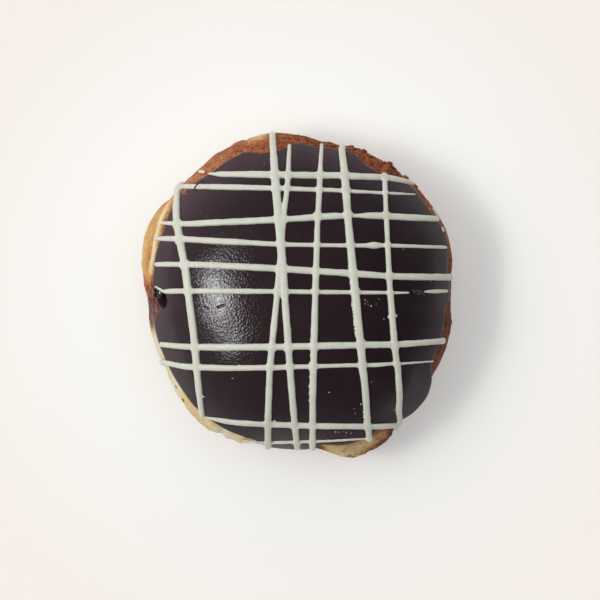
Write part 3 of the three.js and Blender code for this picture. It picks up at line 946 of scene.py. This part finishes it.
# How much deeper the solid's own form lies behind the lumps.
INNER_DEPTH = 1.6
FILLING_ROUGHNESS = 0.1
FILLING_SEED = 101
PIT_AXES = np.array([PIT_ACROSS, PIT_UP, PIT_OUT])
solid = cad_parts["chocolate_filling"].data
inner = np.array([tuple(vertex.co) for vertex in solid.vertices]) / MM - INNER_DEPTH * PIT_OUT
forms = [(inner, [tuple(face.vertices) for face in solid.polygons])]
for seed, (across, up, out, *radii, lean) in enumerate(FILLING_LUMPS, FILLING_SEED):
    centre = PIT_MOUTH + np.array([across, up, out]) @ PIT_AXES
    top = PIT_UP * math.cos(math.radians(lean)) + PIT_OUT * math.sin(math.radians(lean))
    axes = [PIT_ACROSS, top, np.cross(PIT_ACROSS, top)]
    forms.append(lump(centre, axes, radii, seed, FILLING_ROUGHNESS))
filling = melted(add_piece("filling", *together(forms)), voxel=0.16, rounds=3, faces_kept=0.3)
print(triangles(filling))

# %% Threads and smears of chocolate
THREAD = [(-26.1, 32.7, 0.5), (-27.7, 31.0, 0.7), (-29.2, 29.4, 0.5)]
THREAD_LIFTS = (0.1, 0.75, 0.75, 0.2)
THREAD_RISE = 0.3
THREAD_SEED = 111
# Places seen from above, three radii, seed and turn.
SMEARS = [(34.6, 0.8, (1.3, 0.9, 0.75), 113, 0.2), (33.4, 0.9, (0.9, 0.5, 0.5), 115, 1.3),
          (35.6, 0.6, (0.8, 0.6, 0.5), 117, 0.6)]
SMEAR_ROUGHNESS = 0.5
forms = [piped(THREAD, THREAD_SEED, THREAD_LIFTS, THREAD_RISE)]
for across, up, radii, seed, turn in SMEARS:
    forms.append(on_icing(across, up, radii, seed, SMEAR_ROUGHNESS, turn))
threads = add_piece("chocolate_threads", *together(forms))
melted(threads, voxel=0.12, rounds=2, faces_kept=1.0)
print(triangles(threads))

# %% Flakes of crust
# Headings, heights and sizes across between which flakes are strewn, and how many.
FLAKE_FIELDS = [(41, 79, 19.5, 24.0, 0.9, 2.2, 46), (288, 308, 19.5, 24.0, 0.4, 0.9, 40),
                (175, 183.5, 24.0, 29.0, 0.5, 1.1, 24)]
# Heading, height and size across of single flakes.
SINGLE_FLAKES = [(54.6, 23.5, 2.4), (57.5, 23.0, 2.0), (217.4, 25.0, 1.0), (223.0, 25.0, 1.2)]
# Between what a flake's half-width and half-thickness, as shares of its size, its turn and its lean are.
FLAKE_LIMITS = [(0.25, 0.4), (0.1, 0.16), (-0.5, 0.5), (0.2, 0.9)]


def strewn_flakes(seed):
    """Flakes of broken crust: the single ones and the strewn ones."""
    chance = np.random.default_rng(seed)
    places = list(SINGLE_FLAKES)
    for first, last, lowest, highest, smallest, largest, count in FLAKE_FIELDS:
        strewn = chance.uniform((first, lowest, smallest), (last, highest, largest), (count, 3))
        places += strewn.tolist()
    forms = []
    for heading, height, size in places:
        wide, thick, turn, lean = (chance.uniform(*limits) for limits in FLAKE_LIMITS)
        radii = (size * 0.5, size * wide, size * thick)
        forms.append(on_crust(heading, height, radii, seed + len(forms), turn, lean))
    return together(forms)


flakes = add_piece("crust_flakes", *strewn_flakes(seed=201))
print(triangles(flakes))

# %% Chips and crumbs
# Places seen from above and a size across.
WHITE_CHIPS = [
    (19.6, -1.4, 0.6), (20.1, -2.0, 0.45), (20.4, -2.9, 0.4), (21.3, -3.2, 0.7), (19.6, -2.6, 0.45),
    (22.7, -2.7, 0.5), (23.5, -1.2, 0.55), (24.9, -6.8, 0.5), (18.4, -31.0, 0.8), (9.4, -27.6, 0.6),
    (27.9, -32.6, 0.6), (16.5, -32.3, 0.5), (11.4, -38.8, 0.7), (12.2, -38.9, 0.6), (13.6, -38.7, 0.5),
    (14.3, -39.0, 0.6), (15.6, -39.2, 0.6), (14.1, -40.0, 0.4), (9.4, -40.9, 0.5), (-31.2, 28.7, 0.7),
    (-9.0, 37.2, 0.45), (-27.2, 23.5, 0.35), (-18.0, -23.7, 0.55), (-5.4, -43.5, 0.6), (-6.2, -35.6, 0.7),
    (41.7, 18.6, 2.6), (30.4, 13.0, 0.5), (38.2, 4.0, 0.6), (21.5, -24.6, 0.35), (-25.3, 22.4, 0.3),
]
BROWN_CRUMBS = [(-23.2, 30.3, 0.9), (14.2, 26.8, 0.4), (-27.5, -14.2, 0.5), (16.9, -33.6, 0.5)]
# Three radii as shares of the size, roughness, and how far each crumb is turned from the one before.
CRUMB_SHAPE = (0.36, 0.24, 0.16)
CRUMB_ROUGHNESS = 0.75
CRUMB_TURN = 1.7


def scattered(places, seed):
    """Lumps lying at their places, each turned and shaped its own way."""
    forms = []
    for number, (across, up, size) in enumerate(places):
        radii = [size * share for share in CRUMB_SHAPE]
        forms.append(on_icing(across, up, radii, seed + number, CRUMB_ROUGHNESS, CRUMB_TURN * number))
    return together(forms)


chips = add_piece("white_chips", *scattered(WHITE_CHIPS, seed=131))
crumbs = add_piece("crust_crumbs", *scattered(BROWN_CRUMBS, seed=171))
print(triangles(chips), "and", triangles(crumbs))

# %% [markdown]
# ## Effects that several finishes share
#
# Every surface here has a fine grain and is blotchy in some way: bubbles in the chocolate, pores in the
# crust, dull spots in the white icing. Three node groups give these as plain numbers, heights and a mask,
# with their size in millimetres as an input. A group keeps the recipe in one place, and each material sets
# its own size and strength. Beads are domes that stand apart when they reach less far than their spacing.


# %% Helpers for nodes, and the grain
def fill(tree, node, inputs):
    """Sets a node's inputs: a socket is linked to one, and anything else is the input's own value."""
    for name, value in inputs.items():
        if isinstance(value, bpy.types.NodeSocket):
            tree.links.new(value, node.inputs[name])
        else:
            node.inputs[name].default_value = value


def put(tree, kind, inputs=None, **settings):
    """A new node with its settings and its inputs."""
    node = tree.nodes.new("ShaderNode" + kind)
    for name, value in settings.items():
        setattr(node, name, value)
    fill(tree, node, inputs or {})
    return node


def maths(tree, operation, *terms, clamped=False):
    """What a Math node makes of sockets and numbers."""
    return put(tree, "Math", dict(enumerate(terms)), operation=operation, use_clamp=clamped).outputs[0]


def new_group(name, inputs, output):
    """An empty shader group with named number inputs and one number output."""
    group = bpy.data.node_groups.new(name, "ShaderNodeTree")
    for label, value in inputs.items():
        socket = group.interface.new_socket(name=label, in_out="INPUT", socket_type="NodeSocketFloat")
        socket.default_value = value
    group.interface.new_socket(name=output, in_out="OUTPUT", socket_type="NodeSocketFloat")
    return group, group.nodes.new("NodeGroupInput").outputs, group.nodes.new("NodeGroupOutput")


def sized_place(group, size):
    """The place on the piece, counted in steps of a size in millimetres."""
    place = put(group, "TexCoord").outputs["Object"]
    per_metre = maths(group, "DIVIDE", 1 / MM, size)
    return put(group, "VectorMath", {0: place, "Scale": per_metre}, operation="SCALE").outputs[0]


def sized_noise(group, size, detail):
    """A noise inside a group whose bumps have a size in millimetres."""
    inputs = {"Vector": sized_place(group, size), "Scale": 1.0, "Detail": detail}
    return put(group, "TexNoise", inputs).outputs[0]


GRAIN, entry, leave = new_group("Grain", {"Size": 0.5}, "Height")
fill(GRAIN, leave, {"Height": sized_noise(GRAIN, entry["Size"], detail=2.0)})
print(GRAIN.name, "has", len(GRAIN.nodes), "nodes")

# %% Mottle and beads
MOTTLE, entry, leave = new_group("Mottle", {"Size": 4.0, "Contrast": 2.0}, "Mask")
centred = maths(MOTTLE, "SUBTRACT", sized_noise(MOTTLE, entry["Size"], detail=3.0), 0.5)
spread_out = maths(MOTTLE, "MULTIPLY_ADD", centred, entry["Contrast"], 0.5, clamped=True)
fill(MOTTLE, leave, {"Mask": spread_out})

BEADS, entry, leave = new_group("Beads", {"Size": 0.5, "Reach": 1.0}, "Height")
cells = put(BEADS, "TexVoronoi", {"Vector": sized_place(BEADS, entry["Size"]), "Scale": 1.0})
outwards = maths(BEADS, "DIVIDE", cells.outputs["Distance"], entry["Reach"])
domed = maths(BEADS, "SUBTRACT", 1.0, maths(BEADS, "MULTIPLY", outwards, outwards), clamped=True)
fill(BEADS, leave, {"Height": domed})
print("groups:", [group.name for group in (GRAIN, MOTTLE, BEADS)])

# %% [markdown]
# ## Finishes
#
# Each material starts from one Principled shader. The crust reads how brown each point is and looks the
# colour up in a ramp from cream over gold to dark red-brown. Its cracks, part of its right side, the crust
# below the pit and the ledge are painted darker as painted shade; the pit's inside is painted near-black,
# partly as the filling and partly as painted shade. The chocolate is nearly black, its bubbles break the
# highlight into sparks, its upper left is painted lighter as painted light, and its sides are duller, with a
# violet tint that is a painted sheen. The white icing lets a little light through. Numbers that are the same
# all over go straight on the shader's sockets.


# %% Helpers for finishes
def new_finish(name, roughness, specular):
    """A material, its nodes and its Principled shader, rough and shiny as given."""
    material = bpy.data.materials.new(name)
    material.use_nodes = True
    shader = material.node_tree.nodes["Principled BSDF"]
    fill(material.node_tree, shader, {"Roughness": roughness, "Specular IOR Level": specular})
    return material, material.node_tree, shader


def use_group(tree, group, **values):
    """A shared group placed in a material with its own values."""
    return put(tree, "Group", values, node_tree=group).outputs[0]


def noted(tree, name):
    """A number that is stored on the points."""
    return put(tree, "Attribute", attribute_name=name).outputs["Fac"]


def blended(tree, mask, first, second, way="MIX"):
    """Two colours, or sockets of colours, blended by a mask."""
    inputs = {"Factor": mask, "A": first, "B": second}
    return put(tree, "Mix", inputs, data_type="RGBA", blend_type=way).outputs["Result"]


def between(tree, mask, first, second):
    """A number between two numbers, by a mask."""
    return put(tree, "MapRange", {"Value": mask, "To Min": first, "To Max": second}).outputs["Result"]


def bumped(tree, shader, height, depth, before=None):
    """Fine relief from a height, in millimetres, on top of any relief before it."""
    bump = put(tree, "Bump", {"Height": height, "Distance": depth * MM})
    if before:
        tree.links.new(before.outputs[0], bump.inputs["Normal"])
    tree.links.new(bump.outputs[0], shader.inputs["Normal"])
    return bump


def total(tree, start, *terms):
    """A sum of number sockets, each with its weight, where a mask of one half counts as nothing."""
    for socket, weight in terms:
        start = maths(tree, "ADD", start, maths(tree, "MULTIPLY_ADD", socket, weight, -weight / 2))
    return start


print("groups to place:", [group.name for group in bpy.data.node_groups])

# %% Crust finish
BROWNING = [
    (0.0, (0.69, 0.635, 0.465, 1)),
    (0.07, (0.685, 0.575, 0.34, 1)),
    (0.16, (0.66, 0.485, 0.215, 1)),
    (0.3, (0.62, 0.395, 0.15, 1)),
    (0.46, (0.51, 0.245, 0.093, 1)),
    (0.64, (0.38, 0.125, 0.057, 1)),
    (0.8, (0.24, 0.062, 0.03, 1)),
    (1.0, (0.08, 0.025, 0.016, 1)),
]
PALE_SMEAR = (0.22, 0.085, 0.078, 1)
DARK_SMEAR = (0.045, 0.018, 0.016, 1)
# Near-black for the pit's filling and painted shade, and for painted shade below the pit and on the ledge.
SHADE_AND_FILLING_DARK = (0.02, 0.012, 0.012, 1)
# How strongly spots and relief show on cream and on dark crust.
SPOTTED = (0.15, 1.35)
ROUGH = (0.2, 1.2)
# How brown crumbs and flakes are, and the strength, wave, octaves and seed of its unevenness.
CRUMB_BROWN = 0.42
FLAKE_BROWN = 0.68
BROWN_UNEVEN = (0.5, 2.5, 1, 61.0)
crust_finish, tree, shader = new_finish("fried crust", roughness=0.6, specular=0.06)
browned = noted(tree, "brown")
pores = use_group(tree, GRAIN, Size=0.5)
patches = use_group(tree, MOTTLE, Size=5.0, Contrast=2.4)
specks = use_group(tree, MOTTLE, Size=1.3, Contrast=3.0)
granules = use_group(tree, BEADS, Size=0.8)
spotted = total(tree, browned, (patches, 0.12), (specks, 0.15), (pores, 0.6), (granules, -0.25))
spots = {"Factor": between(tree, browned, *SPOTTED), "A": browned, "B": spotted}
baked = put(tree, "Mix", spots, data_type="FLOAT").outputs["Result"]
ramp = put(tree, "ValToRGB", {"Fac": baked})
for number, (place, colour) in enumerate(BROWNING):
    stop = ramp.color_ramp.elements[number] if number < 2 else ramp.color_ramp.elements.new(place)
    stop.position = place
    stop.color = colour
soaked = noted(tree, "wet")
smears = blended(tree, use_group(tree, MOTTLE, Size=1.8, Contrast=3.5), PALE_SMEAR, DARK_SMEAR)
stained = blended(tree, soaked, ramp.outputs["Color"], smears)
fill(tree, shader, {
    "Base Color": blended(tree, noted(tree, "shade_and_filling"), stained, SHADE_AND_FILLING_DARK),
    "Roughness": between(tree, soaked, 0.6, 0.35),
    "Subsurface Weight": 0.06,
    "Subsurface Radius": (1.0, 0.5, 0.25),
    "Subsurface Scale": 0.8 * MM,
})
rough_part = between(tree, browned, *ROUGH)
before = None
for height, depth in ((specks, 0.25), (granules, 0.25), (pores, 0.22)):
    before = bumped(tree, shader, maths(tree, "MULTIPLY", height, rough_part), depth, before)
crust.data.materials.append(crust_finish)
for strewn, brown in ((crumbs, CRUMB_BROWN), (flakes, FLAKE_BROWN)):
    strewn.data.materials.append(crust_finish)
    places = np.array([tuple(vertex.co / MM) for vertex in strewn.data.vertices])
    note_on_points(strewn, "brown", brown + layered(places, [BROWN_UNEVEN]))
print(len(BROWNING), "steps of browning,", len(tree.nodes), "nodes in the crust")

# %% Chocolate finish
DARK_CHOCOLATE = (0.0125, 0.006, 0.0072, 1)
# Lighter chocolate: painted light on the icing's upper left, and the threads' lighter tone.
LIGHTER_CHOCOLATE = (0.039, 0.019, 0.021, 1)
# A violet tint on the dull sides: a painted sheen.
PAINTED_VIOLET_SHEEN = (0.009, 0.003, 0.011, 1)
# How much lighter the threads and smears are: partly their own thin chocolate, partly a painted sheen.
THREAD_LIGHTNESS = 0.8
icing_finish, tree, shader = new_finish("dark chocolate icing", roughness=0.16, specular=0.5)
bloom = use_group(tree, MOTTLE, Size=9.0, Contrast=2.0)
tint = blended(tree, total(tree, noted(tree, "lighter"), (bloom, 0.25)), DARK_CHOCOLATE, LIGHTER_CHOCOLATE)
sides = noted(tree, "side")
fill(tree, shader, {
    "Base Color": blended(tree, sides, tint, PAINTED_VIOLET_SHEEN, "ADD"),
    "Roughness": between(tree, sides, 0.16, 0.73),
})
domes = bumped(tree, shader, use_group(tree, BEADS, Size=0.78, Reach=0.6), depth=0.022)
bumped(tree, shader, use_group(tree, GRAIN, Size=0.35), depth=0.008, before=domes)
icing.data.materials.append(icing_finish)
threads.data.materials.append(icing_finish)
# The threads' lighter tone: partly thin chocolate, partly a painted sheen.
note_on_points(threads, "lighter", np.full(len(threads.data.vertices), THREAD_LIGHTNESS))
print(len(tree.nodes), "nodes in the chocolate")

# %% White icing finish
DULL_WHITE = (0.576, 0.58, 0.489, 1)
CLEAR_WHITE = (0.64, 0.644, 0.548, 1)
DUST = (0.2, 0.17, 0.16, 1)
DUSTY_WHITE = (0.62, 0.6, 0.54, 1)
white_finish, tree, shader = new_finish("white icing", roughness=0.42, specular=0.4)
dull = use_group(tree, MOTTLE, Size=2.2, Contrast=2.2)
fill(tree, shader, {
    "Base Color": blended(tree, dull, DULL_WHITE, CLEAR_WHITE),
    "Roughness": between(tree, dull, 0.48, 0.36),
    "Subsurface Weight": 0.2,
    "Subsurface Radius": (1.0, 0.9, 0.7),
    "Subsurface Scale": 0.5 * MM,
})
bumped(tree, shader, use_group(tree, GRAIN, Size=0.4), depth=0.03)
white_lines.data.materials.append(white_finish)
chip_finish, tree, shader = new_finish("dusty icing", roughness=0.5, specular=0.3)
dusty = use_group(tree, MOTTLE, Size=0.6, Contrast=3.0)
fill(tree, shader, {"Base Color": blended(tree, dusty, DUST, DUSTY_WHITE)})
chips.data.materials.append(chip_finish)
print("white finishes:", white_finish.name, "and", chip_finish.name)

# %% Filling finish
DARK_FILLING = (0.012, 0.005, 0.004, 1)
LIGHT_FILLING = (0.04, 0.015, 0.01, 1)
filling_finish, tree, shader = new_finish("wet chocolate filling", roughness=0.12, specular=0.9)
swirl = use_group(tree, MOTTLE, Size=1.6, Contrast=2.5)
fill(tree, shader, {
    "Base Color": blended(tree, swirl, DARK_FILLING, LIGHT_FILLING),
    "Roughness": between(tree, swirl, 0.06, 0.16),
})
bumped(tree, shader, use_group(tree, GRAIN, Size=1.6), depth=0.03)
filling.data.materials.append(filling_finish)
print("finishes:", [material.name for material in bpy.data.materials if material.users])

# %% [markdown]
# ## Joining the pieces to the model
#
# The doughnut doesn't move, so every piece rides on the one body, root. The crust, the icing and the filling
# stand for their solids, and the white lines stand for the icing's solid too, because the CAD fuses them to
# it. A nearest-surface search then tells how far each piece strays from the solid it stands for.

# %% Ride, replace and measure
PIECES = [
    (crust, "dough", "fried_dough"),
    (icing, "chocolate_icing", "chocolate_icing"),
    (white_lines, "chocolate_icing", "white_icing"),
    (filling, "chocolate_filling", "chocolate_filling"),
    (threads, None, "chocolate_icing"),
    (chips, None, "white_icing"),
    (crumbs, None, "fried_dough"),
    (flakes, None, "fried_dough"),
]
for piece, node, slot_name in PIECES:
    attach(piece, "root")
    if node:
        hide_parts(node)
        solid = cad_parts[node].data
        corners = [vertex.co for vertex in solid.vertices]
        nearest = BVHTree.FromPolygons(corners, [tuple(face.vertices) for face in solid.polygons])
        gaps = [nearest.find_nearest(vertex.co)[3] / MM for vertex in piece.data.vertices]
        print(piece.name, f"lies {np.mean(gaps):.2f} mm from {node} on average, {max(gaps):.2f} mm at most")

# %% [markdown]
# ## Light, floor and camera
#
# The doughnut lies on a pale surface, seen from straight above with a long lens. A lamp on the left makes the
# highlight on the icing: its hot core makes the sparks, and the larger area round it the glow. A wider, lower
# lamp makes the soft shadow, and a wide fill light brightens what faces away. Both are kept out of
# reflections. A low strip lights the left side. All are area lamps, because their size shows, and so far off
# that the floor is lit evenly. The room adds a weak fill that is darkest overhead, so that the flat top of
# the chocolate stays dark. The floor glows a little, as a lit table does, which keeps the shadow pale, and is
# cooler near the doughnut, against the warm light that the crust throws on it.

# %% Floor
FLOOR_SIZE = 4.0
FLOOR_GLOW = 0.265
GLOW_TINT = (0.906, 0.947, 1.0, 1)
# Distances in metres between which the floor's near colour turns into the far one.
NEAR, FAR = 0.045, 0.11
NEAR_TINT = (0.722, 0.72, 0.668, 1)
FAR_TINT = (0.705, 0.634, 0.556, 1)
half_floor = FLOOR_SIZE / 2
corners = [(x * half_floor, y * half_floor, 0) for x, y in ((-1, -1), (1, -1), (1, 1), (-1, 1))]
floor_mesh = bpy.data.meshes.new("floor")
floor_mesh.from_pydata(corners, [], [(0, 1, 2, 3)])
floor = bpy.data.objects.new("floor", floor_mesh)
bpy.context.scene.collection.objects.link(floor)
floor_finish, tree, shader = new_finish("pale surface", roughness=0.9, specular=0.1)
place = put(tree, "TexCoord").outputs["Object"]
distance = put(tree, "VectorMath", {0: place}, operation="LENGTH").outputs["Value"]
ends = {"Value": distance, "From Min": NEAR, "From Max": FAR}
away = put(tree, "MapRange", ends, interpolation_type="SMOOTHSTEP").outputs["Result"]
fill(tree, shader, {
    "Base Color": blended(tree, away, NEAR_TINT, FAR_TINT),
    "Emission Color": GLOW_TINT,
    "Emission Strength": FLOOR_GLOW,
})
floor.data.materials.append(floor_finish)
print("floor", FLOOR_SIZE, "m wide")

# %% Lamps
LAMP_AWAY = 12.0
# Degrees from straight above, heading, roll, the two angles in degrees that it fills, its radiance and shape.
LAMPS = {
    "hot core": (28.8, 183.5, 6, (12, 6), 22.0, "ELLIPSE"),
    "key light": (28.8, 183.5, 0, (27, 19), 5.2, "ELLIPSE"),
    "soft light": (37, 170, 0, (36, 22), 2.2, "RECTANGLE"),
    "low strip": (86, 180, 0, (70, 18), 0.6, "RECTANGLE"),
    "fill light": (24, 98, 0, (100, 100), 0.6, "ELLIPSE"),
}
HIDDEN_IN_REFLECTIONS = ("soft light", "fill light")
for name, (from_above, heading, roll, angles, radiance, shape) in LAMPS.items():
    lamp = bpy.data.objects.new(name, bpy.data.lights.new(name, "AREA"))
    level = math.sin(math.radians(from_above))
    towards = Vector((level * math.cos(math.radians(heading)), level * math.sin(math.radians(heading)), 0))
    towards.z = math.cos(math.radians(from_above))
    lamp.location = towards * LAMP_AWAY
    rolled = Quaternion((0, 0, 1), math.radians(roll))
    lamp.rotation_euler = (towards.to_track_quat("Z", "Y") @ rolled).to_euler()
    lamp.data.shape = shape
    lamp.visible_glossy = name not in HIDDEN_IN_REFLECTIONS
    lamp.data.size, lamp.data.size_y = (2 * LAMP_AWAY * math.tan(math.radians(angle) / 2) for angle in angles)
    share = math.pi / 4 if shape == "ELLIPSE" else 1
    lamp.data.energy = radiance * math.pi * share * lamp.data.size * lamp.data.size_y
    bpy.context.scene.collection.objects.link(lamp)
    print(f"{name}: {lamp.data.size:.2f} by {lamp.data.size_y:.2f} m, {lamp.data.energy:.0f} W")

# %% Room
ROOM_OVERHEAD = 0.12
ROOM_HORIZON = 0.5
ROOM_BRIGHT_SIDE = (-0.16, 0.08, 0)
ROOM_TINT = (0.97, 0.98, 1.08, 1)
world = bpy.data.worlds.new("studio")
world.use_nodes = True
bpy.context.scene.world = world
tree = world.node_tree
direction = put(tree, "TexCoord").outputs["Generated"]
upward = put(tree, "SeparateXYZ", {0: direction}).outputs["Z"]
sideways = put(tree, "VectorMath", {0: direction, 1: ROOM_BRIGHT_SIDE}, operation="DOT_PRODUCT")
by_height = between(tree, upward, ROOM_HORIZON, ROOM_OVERHEAD)
brightness = maths(tree, "ADD", by_height, sideways.outputs["Value"])
fill(tree, tree.nodes["Background"], {"Color": ROOM_TINT, "Strength": brightness})
print("room brightness", ROOM_OVERHEAD, "overhead and", ROOM_HORIZON, "at the horizon")

# %% Camera
CAMERA_HEIGHT = 4.0
PICTURE_WIDTH = 0.171
PICTURE_CENTRE = (1.14 * MM, -1.43 * MM)
camera = bpy.data.objects.new("camera", bpy.data.cameras.new("camera"))
camera.location = (*PICTURE_CENTRE, CAMERA_HEIGHT)
camera.data.lens = camera.data.sensor_width * (CAMERA_HEIGHT - GIRTH_HEIGHT * MM) / PICTURE_WIDTH
bpy.context.scene.collection.objects.link(camera)
bpy.context.scene.camera = camera
bpy.context.scene.view_settings.view_transform = "Standard"
print(f"camera {CAMERA_HEIGHT} m up, lens {camera.data.lens:.0f} mm")
